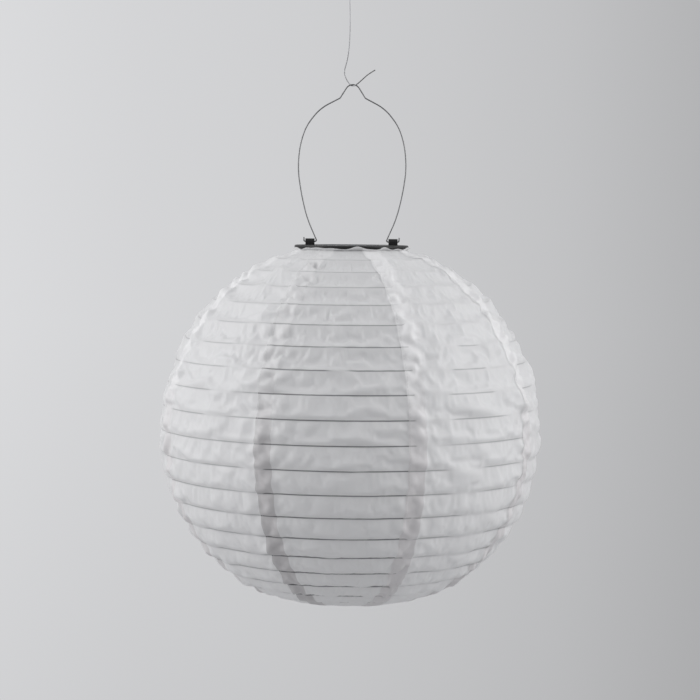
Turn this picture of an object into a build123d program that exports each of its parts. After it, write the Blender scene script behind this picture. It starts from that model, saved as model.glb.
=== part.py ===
from build123d import *
import os
from math import acos, atan2, cos, hypot, pi, radians, sin, tan

# Solar ball lantern that folds flat: a cloth globe on wire hoops, clipped under a plastic lid
# that carries the solar panel, battery and lamp, and hung by a wire bail on a wire hook.
# Millimetres. +Z is up, +X is to the right seen from the front, -Y is towards the front.
# The origin is the centre of the eye at the top of the hanging wire.

# ---- cloth globe and its hoops ----
GLOBE_DIAMETER = 300.0        # over the cloth, at the widest hoop
CLOTH = 0.4                   # thickness of the cloth wall
CLOTH_GAP = 0.25              # hoop to cloth
HOOP_WIRE = 1.0               # diameter of the hoops' wire
HOOP_STEPS = 10               # spaces from the widest hoop up to the neck, and down to the mouth
POLAR_ANGLE = 72.0            # latitude of the first and the last hoop
SLACK = 0.05                  # how far the mouth rides up, as a share of its depth
NECK_RADIUS = 43.6            # centre line of the top ring, which the lid's clips hold
NECK_DROP = 4.1               # lid's top face to the top ring
GORES = 8                     # panels of cloth around the globe
FIRST_SEAM = -26.5            # degrees from the front to the first seam

# ---- lid ----
LID_DIAMETER = 90.6
LID_THICKNESS = 3.2           # inside the collar
LID_RIM = 1.8                 # thickness of the rim outside the collar
LID_ROUND = 1.0               # round of the lid's upper edge
COLLAR_WALL = 1.5             # spigot inside the top ring
CLIP_REACH = 1.1
CLIP_THICKNESS = 1.2
CLIP_SPAN = 12.0              # degrees of the ring that each clip holds
CLIPS = 4
LUG_INNER = 29.4              # from the lid's axis to the lug's inner face
LUG_LENGTH = 7.2
LUG_WIDTH = 5.0
LUG_HEIGHT = 5.1              # to the top of its round back
LUG_BORE_HEIGHT = 2.7         # lid's top face to the bail's axis
LUG_ROUND = 2.4               # round of its upper edges, about the bail's axis
PANEL_SIDE = 44.0             # the clear window over the solar cell
WINDOW = 1.0
CELL_SIDE = 40.0
CELL = 0.4
TAPE_SIDE = 36.0
TAPE = 0.3
WINDOW_CHAMFER = 0.3
JOIN = 0.1                    # how far an added shape reaches into what it joins

# ---- bail: one bent wire ----
BAIL_WIRE = 1.0
BAIL_HEIGHT = 127.4           # lid's top face to the top of the crown
CROWN_RADIUS = 6.0            # centre line of the round top
SHOULDER_WIDTH = 20.2         # across the two kinks below the crown
SHOULDER_DROP = 11.2          # top of the crown down to the kinks
SHOULDER_ROUND = 2.0
FOOT_ROUND = 1.2              # bends of the feet that pass through the lugs
FOOT_TIP = 3.4                # the turned-up ends
FOOT_INSET = 2.1              # lug's inner face to the leg's line, so that the bend clears the lug
# each side's outline: (out from the foot, share of the height up to the shoulder)
BAIL_SIDE = [(8.3, 0.165), (12.8, 0.33), (15.7, 0.50), (14.5, 0.66), (9.8, 0.80), (-1.3, 0.927)]

# ---- hanging wire: eye, shank and open hook ----
WIRE = 0.85
EYE_RADIUS = 3.5              # centre line
EYE_GAP = 50.0                # degrees left open where the eye comes back to the shank
WIRE_ROUTE = [
    (-3.5, 0.0, 0.0),
    (-2.4, 0.3, -24.0),
    (-2.7, 1.0, -48.0),
    (-4.5, 2.4, -61.5),
    (-7.2, 4.4, -69.8),
    (-5.6, 4.0, -76.0),
    (-1.7, 1.2, -81.6),
    (1.7, -1.2, -81.6),
    (6.6, -4.6, -77.6),
    (12.0, -8.4, -72.6),
    (17.4, -12.2, -69.7),
]
HOOK_BOTTOM = min(z for _, _, z in WIRE_ROUTE)

# ---- electronics housing under the lid ----
HOUSING_X = 31.0
HOUSING_Y = 58.0
HOUSING_Z = 23.4
HOUSING_WALL = 1.6
HOUSING_ROUND = 2.5
GASKET = 0.6
EAR = 6.4                     # screw ears, square
EAR_THICKNESS = 1.8
EAR_DROP = 5.0                # lid's underside to the ears, the height of the lid's bosses
EAR_Y = 20.0
BOSS_RADIUS = 2.7
SCREW_RADIUS = 1.0
SCREW_HEAD = 1.9
SCREW_HEAD_HEIGHT = 1.3
SCREW_SLOT = (2.2, 0.5)
SCREW_SPARE = 0.5             # bore beyond a screw's tip
SCREW_FIT = 0.05              # radial, in a boss
HOLE_FIT = 0.15               # radial, through an ear or a board
BATTERY_DIAMETER = 10.5
BATTERY_LENGTH = 44.5
NUB_RADIUS = 1.9
NUB = 1.0
BATTERY_END = 24.0            # where the battery's positive end touches its contact
BATTERY_ROOM = 0.6            # around the battery
BATTERY_ASIDE = 0.3           # further from the housing's wall
BATTERY_ROUND = 0.6
SPRING_LENGTH = 3.2
SPRING_RADIUS = 3.2
SPRING_WIRE = 0.6
SPRING_TURNS = 2.5
CONTACT = 0.4
CONTACT_WIDTH = 8.0
BOARD_X = 25.6
BOARD_Y = 51.2
BOARD = 1.0
BOARD_GAP = 1.6               # over the battery
BOARD_BOSS_RADIUS = 2.2
BOARD_HOLES = [(9.5, 14.0), (-9.5, -14.0)]
BOARD_SCREW_BITE = 4.0
CHIP_AT = (3.0, -5.0)
CHIP = (4.0, 5.0, 1.6)
CHIP_STAND = 0.3
CHIP_LEG = (1.2, 0.45, 0.6)   # out from the body, wide, high
CHIP_LEG_PITCH = 1.27
CHOKE_AT = (-5.0, -2.0)
CHOKE_RADIUS = 1.6
CHOKE_LENGTH = 7.5
CHOKE_ROUND = 0.9
LEAD_RADIUS = 0.4
CELL_LEADS = [(-4.0, 6.0), (4.0, 6.0)]
LAMP_X = 7.5
LAMP_RADIUS = 2.5
LAMP_FLANGE = 0.4             # radial
LAMP_FLANGE_HEIGHT = 1.0
LAMP_REACH = 5.2              # dome below the housing
LAMP_LEG_RADIUS = 0.25
LAMP_LEG_PITCH = 2.54
LEG_STUB = 0.6                # above the board
SWITCH_Y = -16.0
SWITCH_BODY = (4.6, 9.0, 4.0)
SWITCH_LEAD_PITCH = 2.5
SLIDER_BASE = (2.2, 3.4, 1.2)
SLIDER_KNOB = 1.8             # square
SLIDER_REACH = 1.8            # below the housing
SLIDER_TRAVEL = 2.0
SLIDER_FIT = 0.2
COVER_FIT = 0.25
COVER_LENGTH = 46.0
COVER_TAB = (5.0, 6.0, 0.8)
COVER_TAB_ROOM = 0.1
BOSS_ROOT = 0.3               # of the cover's boss, into the floor
COVER_SCREW_Y = 12.0
COVER_SCREW_LENGTH = 6.0
COVER_BOSS_RADIUS = 2.1
COVER_BOSS_HEIGHT = 6.5
BAIL_FIT = 0.05               # bail in its lugs, and crown on its hook

# ---- levels, worked out from the sizes above ----
CROWN_TOP = HOOK_BOTTOM + WIRE / 2 + BAIL_FIT + BAIL_WIRE
CROWN_CENTRE = CROWN_TOP - BAIL_WIRE / 2 - CROWN_RADIUS
LID_TOP = CROWN_TOP - BAIL_HEIGHT
LID_UNDER = LID_TOP - LID_THICKNESS
RIM_UNDER = LID_TOP - LID_RIM
BAIL_AXIS = LID_TOP + LUG_BORE_HEIGHT
HOOP_SPHERE = GLOBE_DIAMETER / 2 - CLOTH - CLOTH_GAP - HOOP_WIRE / 2
GLOBE_CENTRE = LID_TOP - NECK_DROP - HOOP_SPHERE * sin(radians(POLAR_ANGLE))
HOUSING_TOP = LID_UNDER - GASKET
HOUSING_BOTTOM = HOUSING_TOP - HOUSING_Z
FLOOR = HOUSING_BOTTOM + HOUSING_WALL
BATTERY_X = -HOUSING_X / 2 + HOUSING_WALL + BATTERY_DIAMETER / 2 + BATTERY_ROOM + BATTERY_ASIDE
BATTERY_Z = FLOOR + BATTERY_ROOM + BATTERY_DIAMETER / 2
BATTERY_START = BATTERY_END - BATTERY_LENGTH
BOARD_BOTTOM = BATTERY_Z + BATTERY_DIAMETER / 2 + BOARD_GAP
BOARD_TOP = BOARD_BOTTOM + BOARD
COVER_X = BATTERY_DIAMETER + 2 * BATTERY_ROOM
COVER_Y = BATTERY_END - BATTERY_LENGTH / 2
COVER_SCREW_X = BATTERY_X + COVER_X / 2 + COVER_TAB[0] / 2
COVER_BORE_TOP = HOUSING_BOTTOM + COVER_SCREW_LENGTH + SCREW_SPARE
COLLAR_RADIUS = NECK_RADIUS - HOOP_WIRE / 2 - HOLE_FIT


def block(x, y, z):
    """A box from its (low, high) spans."""
    size = [high - low for low, high in (x, y, z)]
    middle = [(high + low) / 2 for low, high in (x, y, z)]
    return Pos(*middle) * Box(*size)


def around(middle, width):
    return (middle - width / 2, middle + width / 2)


def post(x, y, low, high, radius):
    """A round post along Z."""
    return Pos(x, y, (low + high) / 2) * Cylinder(radius, high - low)


def bend_radii(points):
    """One radius for each inner point, as large as the two runs beside it allow."""
    ends = [Vector(*p) for p in points]
    radii = []
    for a, b, c in zip(ends, ends[1:], ends[2:]):
        turn = radians((b - a).get_angle(c - b))
        radii.append(0.45 * min((b - a).length, (c - b).length) / tan(turn / 2))
    return radii


def round_bar(path, diameter):
    """Wire of this diameter along a path."""
    return sweep(Plane(path @ 0, z_dir=path % 0) * Circle(diameter / 2), path=path)


def ring(radius, z, wire):
    return Pos(0, 0, z) * Torus(radius, wire / 2)


# ---- hanging wire ----
def hanging_wire():
    radii = bend_radii(WIRE_ROUTE)
    path = FilletPolyline(*WIRE_ROUTE, radius=radii)
    tube = round_bar(path, WIRE)
    section = pi * WIRE ** 2 / 4
    print("hanging wire radii", [round(r, 1) for r in radii], "mm, length", round(path.length, 1))
    print("hanging wire volume", round(tube.volume, 2), "section x length", round(section * path.length, 2))
    return tube


def hanging_eye():
    """The open loop bent in the top end, which lies in the XZ plane."""
    sweep_angle = 360 - EYE_GAP
    middle, end = (radians(180 - a) for a in (sweep_angle / 2, sweep_angle))
    points = [(EYE_RADIUS * cos(a), 0, EYE_RADIUS * sin(a)) for a in (pi, middle, end)]
    return round_bar(ThreePointArc(*points), WIRE)


# ---- bail ----
def crown_touch():
    """Where the straight run up from the shoulder meets the crown's arc."""
    across = SHOULDER_WIDTH / 2
    up = CROWN_TOP - SHOULDER_DROP - CROWN_CENTRE
    angle = atan2(up, across) + acos(CROWN_RADIUS / hypot(across, up))
    return (CROWN_RADIUS * cos(angle), 0, CROWN_CENTRE + CROWN_RADIUS * sin(angle))


def bail_half(side):
    """One leg from its turned-up tip to the crown's arc; side is 1 or -1."""
    shoulder = CROWN_TOP - SHOULDER_DROP
    outer = LUG_INNER + LUG_LENGTH + FOOT_ROUND + BAIL_FIT
    inner = LUG_INNER - FOOT_INSET
    rise = shoulder - BAIL_AXIS
    touch = crown_touch()
    outline = [(outer, BAIL_AXIS + FOOT_TIP), (outer, BAIL_AXIS), (inner, BAIL_AXIS)]
    outline += [(inner + out, BAIL_AXIS + share * rise) for out, share in BAIL_SIDE]
    outline += [(SHOULDER_WIDTH / 2, shoulder), (touch[0], touch[2])]
    points = [(side * x, 0, z) for x, z in outline]
    radii = bend_radii(points)
    radii[0] = radii[1] = FOOT_ROUND
    radii[-1] = SHOULDER_ROUND
    return FilletPolyline(*points, radius=radii)


def bail():
    x, y, z = crown_touch()
    crown = ThreePointArc((x, y, z), (0, 0, CROWN_TOP - BAIL_WIRE / 2), (-x, y, z))
    path = Wire([*bail_half(1).edges(), crown.edge(), *bail_half(-1).edges()])
    return round_bar(path, BAIL_WIRE)


# ---- lid ----
def lug(side):
    low = side * LUG_INNER
    high = side * (LUG_INNER + LUG_LENGTH)
    body = block(sorted((low, high)), around(0, LUG_WIDTH), (LID_TOP - JOIN, LID_TOP + LUG_HEIGHT))
    body = fillet(body.edges().filter_by(Axis.X).group_by(Axis.Z)[-1], LUG_ROUND)
    bore = Pos((low + high) / 2, 0, BAIL_AXIS) * Rot(0, 90, 0)
    return body - bore * Cylinder(BAIL_WIRE / 2 + BAIL_FIT, LUG_LENGTH + 2)


def clip(angle):
    """One hook of the collar, which passes under the top ring."""
    ring_low = LID_TOP - NECK_DROP - HOOP_WIRE / 2
    middle = (COLLAR_RADIUS - COLLAR_WALL / 2 + CLIP_REACH / 2, 0, ring_low - CLIP_THICKNESS / 2)
    section = Pos(*middle) * Rot(90, 0, 0) * Rectangle(COLLAR_WALL + CLIP_REACH, CLIP_THICKNESS)
    return Rot(0, 0, angle - CLIP_SPAN / 2) * revolve(section, Axis.Z, CLIP_SPAN)


def lid_plate():
    plate = post(0, 0, RIM_UNDER, LID_TOP, LID_DIAMETER / 2)
    plate = fillet(plate.edges().group_by(Axis.Z)[-1], LID_ROUND)
    collar_low = LID_TOP - NECK_DROP - HOOP_WIRE / 2 - CLIP_THICKNESS
    plate += post(0, 0, collar_low, LID_TOP - LID_ROUND, COLLAR_RADIUS)
    plate -= post(0, 0, collar_low - 1, LID_UNDER, COLLAR_RADIUS - COLLAR_WALL)
    for k in range(CLIPS):
        plate += clip(45 + 360 * k / CLIPS)
    for side in (-1, 1):
        plate += lug(side)
    for x, y in ear_places():
        plate += post(x, y, LID_UNDER - EAR_DROP, LID_UNDER + JOIN, BOSS_RADIUS)
        plate -= post(x, y, LID_UNDER - EAR_DROP - 1, LID_UNDER, SCREW_RADIUS + SCREW_FIT)
    for x, y in BOARD_HOLES:
        plate += post(x, y, BOARD_TOP, LID_UNDER + JOIN, BOARD_BOSS_RADIUS)
        plate -= post(x, y, BOARD_TOP - 1, LID_UNDER, SCREW_RADIUS + SCREW_FIT)
    for x, y in CELL_LEADS:
        plate -= post(x, y, LID_UNDER - 1, LID_TOP, LEAD_RADIUS + HOLE_FIT)
    side = around(0, PANEL_SIDE + 2 * HOLE_FIT)
    return plate - block(side, side, (LID_TOP - WINDOW - CELL - TAPE, LID_TOP + 1))


def square_sheet(side, top, thickness):
    return block(around(0, side), around(0, side), (top - thickness, top))


def solar_window():
    pane = square_sheet(PANEL_SIDE, LID_TOP, WINDOW)
    return chamfer(pane.edges().group_by(Axis.Z)[-1], WINDOW_CHAMFER)


def solar_cell():
    return square_sheet(CELL_SIDE, LID_TOP - WINDOW, CELL)


def cell_tape():
    tape = square_sheet(TAPE_SIDE, LID_TOP - WINDOW - CELL, TAPE)
    for x, y in CELL_LEADS:
        tape -= post(x, y, LID_UNDER, LID_TOP, LEAD_RADIUS + HOLE_FIT)
    return tape


def cell_leads():
    top = LID_TOP - WINDOW - CELL
    return Compound([post(x, y, BOARD_TOP, top, LEAD_RADIUS) for x, y in CELL_LEADS])


# ---- electronics housing ----
def ear_places():
    x = HOUSING_X / 2 + EAR / 2
    return [(sx * x, sy * EAR_Y) for sx in (-1, 1) for sy in (-1, 1)]


def rounded_box(width, length, low, high, radius):
    body = block(around(0, width), around(0, length), (low, high))
    return fillet(body.edges().filter_by(Axis.Z), radius)


def housing_gasket():
    inner = 2 * HOUSING_WALL
    frame = rounded_box(HOUSING_X, HOUSING_Y, HOUSING_TOP, LID_UNDER, HOUSING_ROUND)
    return frame - rounded_box(
        HOUSING_X - inner, HOUSING_Y - inner, HOUSING_TOP - 1, LID_UNDER + 1,
        HOUSING_ROUND - HOUSING_WALL)


def cover_spans(fit):
    """The battery cover's plate and tab, grown by a fit, as (x, y) spans."""
    grow = 2 * fit
    plate = (around(BATTERY_X, COVER_X + grow), around(COVER_Y, COVER_LENGTH + grow))
    edge = BATTERY_X + COVER_X / 2
    tab = ((edge - 1, edge + COVER_TAB[0] + fit), around(COVER_SCREW_Y, COVER_TAB[1] + grow))
    return plate, tab


def lower_housing():
    inner = 2 * HOUSING_WALL
    shell = rounded_box(HOUSING_X, HOUSING_Y, HOUSING_BOTTOM, HOUSING_TOP, HOUSING_ROUND)
    shell -= rounded_box(
        HOUSING_X - inner, HOUSING_Y - inner, FLOOR, HOUSING_TOP + 1, HOUSING_ROUND - HOUSING_WALL)
    ear_top = LID_UNDER - EAR_DROP
    for x, y in ear_places():
        inward = -1 if x > 0 else 1
        span = sorted((x - inward * EAR / 2, x + inward * (EAR / 2 + HOUSING_WALL / 2)))
        shell += block(span, around(y, EAR), (ear_top - EAR_THICKNESS, ear_top))
        shell -= post(x, y, ear_top - EAR_THICKNESS - 1, ear_top + 1, SCREW_RADIUS + HOLE_FIT)
    plate, tab = cover_spans(COVER_FIT)
    shell -= block(*plate, (HOUSING_BOTTOM - 1, FLOOR + 1))
    shell -= block(*tab, (HOUSING_BOTTOM - 1, HOUSING_BOTTOM + COVER_TAB[2] + COVER_TAB_ROOM))
    boss_at = (COVER_SCREW_X, COVER_SCREW_Y)
    shell += post(*boss_at, FLOOR - BOSS_ROOT, FLOOR + COVER_BOSS_HEIGHT, COVER_BOSS_RADIUS)
    shell -= post(*boss_at, HOUSING_BOTTOM, COVER_BORE_TOP, SCREW_RADIUS + SCREW_FIT)
    shell -= post(LAMP_X, 0, HOUSING_BOTTOM - 1, FLOOR + 1, LAMP_RADIUS + HOLE_FIT)
    slot = SLIDER_KNOB + 2 * SLIDER_FIT
    knob_y = SWITCH_Y - SLIDER_TRAVEL / 2
    slot_y = (knob_y - slot / 2, knob_y + SLIDER_TRAVEL + slot / 2)
    return shell - block(around(LAMP_X, slot), slot_y, (HOUSING_BOTTOM - 1, FLOOR + 1))


def screw(x, y, low, length):
    """A pan-head screw driven upwards; low is the underside of its head."""
    head = post(x, y, low - SCREW_HEAD_HEIGHT, low, SCREW_HEAD)
    head = fillet(head.edges().group_by(Axis.Z)[0], SCREW_HEAD_HEIGHT / 2)
    slot_z = (low - SCREW_HEAD_HEIGHT - 1, low - SCREW_HEAD_HEIGHT / 2)
    long, narrow = SCREW_SLOT
    slots = block(around(x, long), around(y, narrow), slot_z)
    slots += block(around(x, narrow), around(y, long), slot_z)
    return head + post(x, y, low, low + length, SCREW_RADIUS) - slots


def housing_screws():
    low = LID_UNDER - EAR_DROP - EAR_THICKNESS
    length = EAR_THICKNESS + EAR_DROP - SCREW_SPARE
    return Compound([screw(x, y, low, length) for x, y in ear_places()])


def battery_cell():
    turn = Rot(90, 0, 0)
    body = Pos(BATTERY_X, BATTERY_END - NUB - (BATTERY_LENGTH - NUB) / 2, BATTERY_Z) * turn
    can = body * Cylinder(BATTERY_DIAMETER / 2, BATTERY_LENGTH - NUB)
    can = fillet(can.edges(), BATTERY_ROUND)
    nub = Pos(BATTERY_X, BATTERY_END - NUB, BATTERY_Z) * turn * Cylinder(NUB_RADIUS, 2 * NUB)
    return can + nub


def contact(y):
    """A spring-steel plate that stands on the floor and is soldered into the board."""
    return block(around(BATTERY_X, CONTACT_WIDTH), (y, y + CONTACT), (FLOOR, BOARD_BOTTOM))


def battery_spring():
    height = SPRING_LENGTH - SPRING_WIRE
    coil = Helix(pitch=height / SPRING_TURNS, height=height, radius=SPRING_RADIUS)
    wire = round_bar(coil, SPRING_WIRE)
    start = BATTERY_START - SPRING_LENGTH + SPRING_WIRE / 2
    return Pos(BATTERY_X, start, BATTERY_Z) * Rot(-90, 0, 0) * wire


def circuit_board():
    board = block(around(0, BOARD_X), around(0, BOARD_Y), (BOARD_BOTTOM, BOARD_TOP))
    for x, y in BOARD_HOLES:
        board -= post(x, y, BOARD_BOTTOM - 1, BOARD_TOP + 1, SCREW_RADIUS + HOLE_FIT)
    for side in (-1, 1):
        y = side * LAMP_LEG_PITCH / 2
        board -= post(LAMP_X, y, BOARD_BOTTOM - 1, BOARD_TOP + 1, LAMP_LEG_RADIUS)
    return board


def board_screws():
    return Compound([screw(x, y, BOARD_BOTTOM, BOARD + BOARD_SCREW_BITE) for x, y in BOARD_HOLES])


def driver_chip():
    (x, y), (width, length, height) = CHIP_AT, CHIP
    low = BOARD_TOP + CHIP_STAND
    chip = block(around(x, width), around(y, length), (low, low + height))
    out, wide, high = CHIP_LEG
    for side in (-1, 1):
        for step in (-1.5, -0.5, 0.5, 1.5):
            leg_x = sorted((x + side * (width / 2 - JOIN), x + side * (width / 2 + out)))
            leg_y = around(y + step * CHIP_LEG_PITCH, wide)
            chip += block(leg_x, leg_y, (BOARD_TOP, BOARD_TOP + high))
    return chip


def inductor():
    """A choke with rounded ends, lying on the board."""
    choke = Rot(90, 0, 0) * Cylinder(CHOKE_RADIUS, CHOKE_LENGTH)
    return Pos(*CHOKE_AT, BOARD_TOP + CHOKE_RADIUS) * fillet(choke.edges(), CHOKE_ROUND)


def lamp():
    top = FLOOR + LAMP_FLANGE_HEIGHT
    low = HOUSING_BOTTOM - LAMP_REACH + LAMP_RADIUS
    bulb = post(LAMP_X, 0, low, top, LAMP_RADIUS)
    bulb += Pos(LAMP_X, 0, low) * Sphere(LAMP_RADIUS)
    return bulb + post(LAMP_X, 0, FLOOR, top, LAMP_RADIUS + LAMP_FLANGE)


def lamp_legs():
    low = FLOOR + LAMP_FLANGE_HEIGHT
    sides = (-LAMP_LEG_PITCH / 2, LAMP_LEG_PITCH / 2)
    top = BOARD_TOP + LEG_STUB
    return Compound([post(LAMP_X, y, low, top, LAMP_LEG_RADIUS) for y in sides])


# ---- slide switch ----
def slider_room(fit):
    """The space of the slider's base over its whole travel, as spans."""
    width, length, height = SLIDER_BASE
    low = SWITCH_Y - SLIDER_TRAVEL / 2 - length / 2 - fit
    high = SWITCH_Y + SLIDER_TRAVEL / 2 + length / 2 + fit
    return around(LAMP_X, width + 2 * fit), (low, high), (FLOOR - 1, FLOOR + height + 2 * fit)


def switch_body():
    width, length, height = SWITCH_BODY
    body = block(around(LAMP_X, width), around(SWITCH_Y, length), (FLOOR, FLOOR + height))
    return body - block(*slider_room(SLIDER_FIT))


def switch_leads():
    low = FLOOR + SWITCH_BODY[2]
    places = (SWITCH_Y - SWITCH_LEAD_PITCH, SWITCH_Y, SWITCH_Y + SWITCH_LEAD_PITCH)
    return Compound([post(LAMP_X, y, low, BOARD_BOTTOM, LAMP_LEG_RADIUS) for y in places])


def switch_slider():
    width, length, height = SLIDER_BASE
    y = SWITCH_Y - SLIDER_TRAVEL / 2
    base = block(around(LAMP_X, width), around(y, length), (FLOOR + SLIDER_FIT, FLOOR + height))
    knob = block(
        around(LAMP_X, SLIDER_KNOB), around(y, SLIDER_KNOB),
        (HOUSING_BOTTOM - SLIDER_REACH, FLOOR + height))
    return base + knob


# ---- battery cover ----
def battery_cover():
    plate, tab = cover_spans(0)
    cover = block(*plate, (HOUSING_BOTTOM, FLOOR))
    cover += block(*tab, (HOUSING_BOTTOM, HOUSING_BOTTOM + COVER_TAB[2]))
    hole_top = HOUSING_BOTTOM + COVER_TAB[2] + 1
    boss_at = (COVER_SCREW_X, COVER_SCREW_Y)
    return cover - post(*boss_at, HOUSING_BOTTOM - 1, hole_top, SCREW_RADIUS + SCREW_FIT)


def battery_cover_screw():
    return screw(COVER_SCREW_X, COVER_SCREW_Y, HOUSING_BOTTOM, COVER_SCREW_LENGTH)


# ---- hoops and cloth ----
def hoop_place(step):
    """(radius, height) of a hoop; step 0 is the top ring and 2 x HOOP_STEPS the bottom one."""
    share = 1 - step / HOOP_STEPS
    latitude = radians(POLAR_ANGLE * share)
    radius, height = HOOP_SPHERE * cos(latitude), HOOP_SPHERE * sin(latitude)
    if step == 0:
        radius = NECK_RADIUS
    if share < 0:
        height *= 1 - SLACK * share ** 2
    return radius, GLOBE_CENTRE + height


def hoop(step):
    return ring(*hoop_place(step), HOOP_WIRE)


def cloth_wall():
    """The cloth's section: the inner line over the hoops, and the outer one a thickness away."""
    lines = []
    for grow in (HOOP_WIRE / 2 + CLOTH_GAP, HOOP_WIRE / 2 + CLOTH_GAP + CLOTH):
        line = [(NECK_RADIUS + grow, RIM_UNDER - CLOTH_GAP)]
        for step in range(2 * HOOP_STEPS + 1):
            radius, height = hoop_place(step)
            latitude = radians(POLAR_ANGLE * (1 - step / HOOP_STEPS))
            if step == 0:
                latitude /= 3
            line.append((radius + grow * cos(latitude), height + grow * sin(latitude)))
        lines.append(line)
    return lines[0] + lines[1][::-1]


def shade_gore(number):
    """One of the panels, numbered round from the first seam."""
    points = [(r, 0, z) for r, z in cloth_wall()]
    section = make_face(Polyline(*points, close=True))
    start = -90 + FIRST_SEAM + (number - 1) * 360 / GORES
    return Rot(0, 0, start) * revolve(section, Axis.Z, 360 / GORES)


def all_nodes():
    nodes = {
        "hanging_wire": hanging_wire(),
        "hanging_eye": hanging_eye(),
        "bail": bail(),
        "lid_plate": lid_plate(),
        "solar_window": solar_window(),
        "solar_cell": solar_cell(),
        "cell_tape": cell_tape(),
        "cell_leads": cell_leads(),
        "housing_gasket": housing_gasket(),
        "lower_housing": lower_housing(),
        "housing_screws": housing_screws(),
        "battery_cell": battery_cell(),
        "battery_contact_plus": contact(BATTERY_END),
        "battery_contact_minus": contact(BATTERY_START - SPRING_LENGTH - CONTACT),
        "battery_spring": battery_spring(),
        "circuit_board": circuit_board(),
        "board_screws": board_screws(),
        "driver_chip": driver_chip(),
        "inductor": inductor(),
        "lamp": lamp(),
        "lamp_legs": lamp_legs(),
        "switch_body": switch_body(),
        "switch_leads": switch_leads(),
        "switch_slider": switch_slider(),
        "battery_cover": battery_cover(),
        "battery_cover_screw": battery_cover_screw(),
        "top_ring": hoop(0),
        "bottom_ring": hoop(2 * HOOP_STEPS),
    }
    for step in range(1, 2 * HOOP_STEPS):
        nodes[f"hoop_{step:02d}"] = hoop(step)
    for number in range(1, GORES + 1):
        nodes[f"shade_gore_{number}"] = shade_gore(number)
    return nodes


os.makedirs("parts", exist_ok=True)
for name, shape in all_nodes().items():
    export_step(shape, f"parts/{name}.step")
places = [hoop_place(step) for step in range(2 * HOOP_STEPS + 1)]
print("hoops (radius, height):", [(round(r, 2), round(z, 2)) for r, z in places])
print("lid top", round(LID_TOP, 2), "housing bottom", round(HOUSING_BOTTOM, 2))
print("crown centre", round(CROWN_CENTRE, 2), "top", round(CROWN_TOP, 2))
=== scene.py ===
# %% [markdown]
# # A folding ball lantern
# This lesson dresses a packed CAD model of a cloth ball lantern: a globe of thin white nylon on wire
# hoops, a black lid with a solar panel, and a steel bail on a wire hook. The CAD model says where
# everything is and what moves. Here each part gets the surface that the real one has, and the cloth
# and the hanging wire, which CAD holds as plain solids, are made again as soft things.

# %% Load the frame
from math import hypot, pi, radians

import bpy
import numpy as np
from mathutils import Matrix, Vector


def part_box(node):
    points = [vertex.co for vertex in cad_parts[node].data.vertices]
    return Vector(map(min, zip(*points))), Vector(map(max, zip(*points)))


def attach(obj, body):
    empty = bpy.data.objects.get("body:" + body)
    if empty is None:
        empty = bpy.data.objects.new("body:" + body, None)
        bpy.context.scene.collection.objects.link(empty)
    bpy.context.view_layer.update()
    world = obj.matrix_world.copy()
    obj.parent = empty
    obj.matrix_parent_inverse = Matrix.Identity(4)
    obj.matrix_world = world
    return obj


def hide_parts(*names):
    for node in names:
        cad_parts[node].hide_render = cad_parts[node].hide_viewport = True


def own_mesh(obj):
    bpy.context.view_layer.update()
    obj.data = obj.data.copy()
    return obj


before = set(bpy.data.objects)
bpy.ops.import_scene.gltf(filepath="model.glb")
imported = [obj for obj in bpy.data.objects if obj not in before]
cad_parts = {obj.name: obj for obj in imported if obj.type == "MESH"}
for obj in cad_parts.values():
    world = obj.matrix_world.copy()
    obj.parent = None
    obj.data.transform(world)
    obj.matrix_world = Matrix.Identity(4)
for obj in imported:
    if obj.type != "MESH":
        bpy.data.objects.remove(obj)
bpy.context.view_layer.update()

MM = 0.001

# %% [markdown]
# ## Measures
# Everything is placed from the packed parts. The hoops are the globe's skeleton, so their radii and
# heights come first. A hoop's box is one wire wider than the circle that its centre line makes.

# %% Measures of the hoops and the lid
LIFTED = [f"hoop_{k:02d}" for k in range(1, 20)]
HOOPS = ["top_ring", *LIFTED, "bottom_ring"]
TIERS = len(HOOPS) - 1
HOOP_WIRE = 1.0 * MM
CLOTH_GAP = 0.25 * MM


def hoop_place(name):
    """(radius of the wire's centre line, height) of a hoop."""
    low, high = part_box(name)
    return (high.x - low.x - HOOP_WIRE) / 2, (high.z + low.z) / 2


hoops = [hoop_place(name) for name in HOOPS]
globe_radius, globe_centre = hoops[TIERS // 2]
rim_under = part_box("shade_gore_1")[1].z + CLOTH_GAP
lid_radius = (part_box("lid_plate")[1].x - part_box("lid_plate")[0].x) / 2
print("globe radius", round(globe_radius, 4), "centre", round(globe_centre, 4))
print("lid radius", round(lid_radius, 4), "underside of its rim", round(rim_under, 4))

# %% [markdown]
# ## Camera
# A portrait lens from almost two metres keeps the globe round. The camera stands a little above the
# lid, looks slightly down, and is turned a hair so that the lantern hangs with its right side low, as
# light things do on a wire.

# %% Camera
CAMERA_DISTANCE = 1.84
EYE_ABOVE_CENTRE = 0.1735
CAMERA_ASIDE = -1.4 * MM
LENS = 118.9
SENSOR = 36
PITCH = 3.465
ROLL = -0.5


def add_camera():
    eye = (CAMERA_ASIDE, -CAMERA_DISTANCE, globe_centre + EYE_ABOVE_CENTRE)
    turn = (radians(90 - PITCH), radians(ROLL), 0)
    bpy.ops.object.camera_add(location=eye, rotation=turn)
    camera = bpy.context.object
    camera.data.lens = LENS
    camera.data.sensor_width = SENSOR
    bpy.context.scene.camera = camera
    return camera


camera = add_camera()
print("camera:", camera.data.lens, "mm at", [round(v, 3) for v in camera.location])

# %% [markdown]
# ## Hanging wire
# The wire is one thin steel wire: an eye at the top, a shank that was bent by hand, and an open hook
# under the bail's crown with its cut end sticking out. A curve with a round bevel is the natural way
# to make a wire: a few control points, and Blender keeps it smooth. The route is the one that the CAD
# part uses. Blender adds each point's radius to the curve's bounding box, so the radius is kept tiny
# and the bevel, which it scales, is made as much larger.

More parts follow.
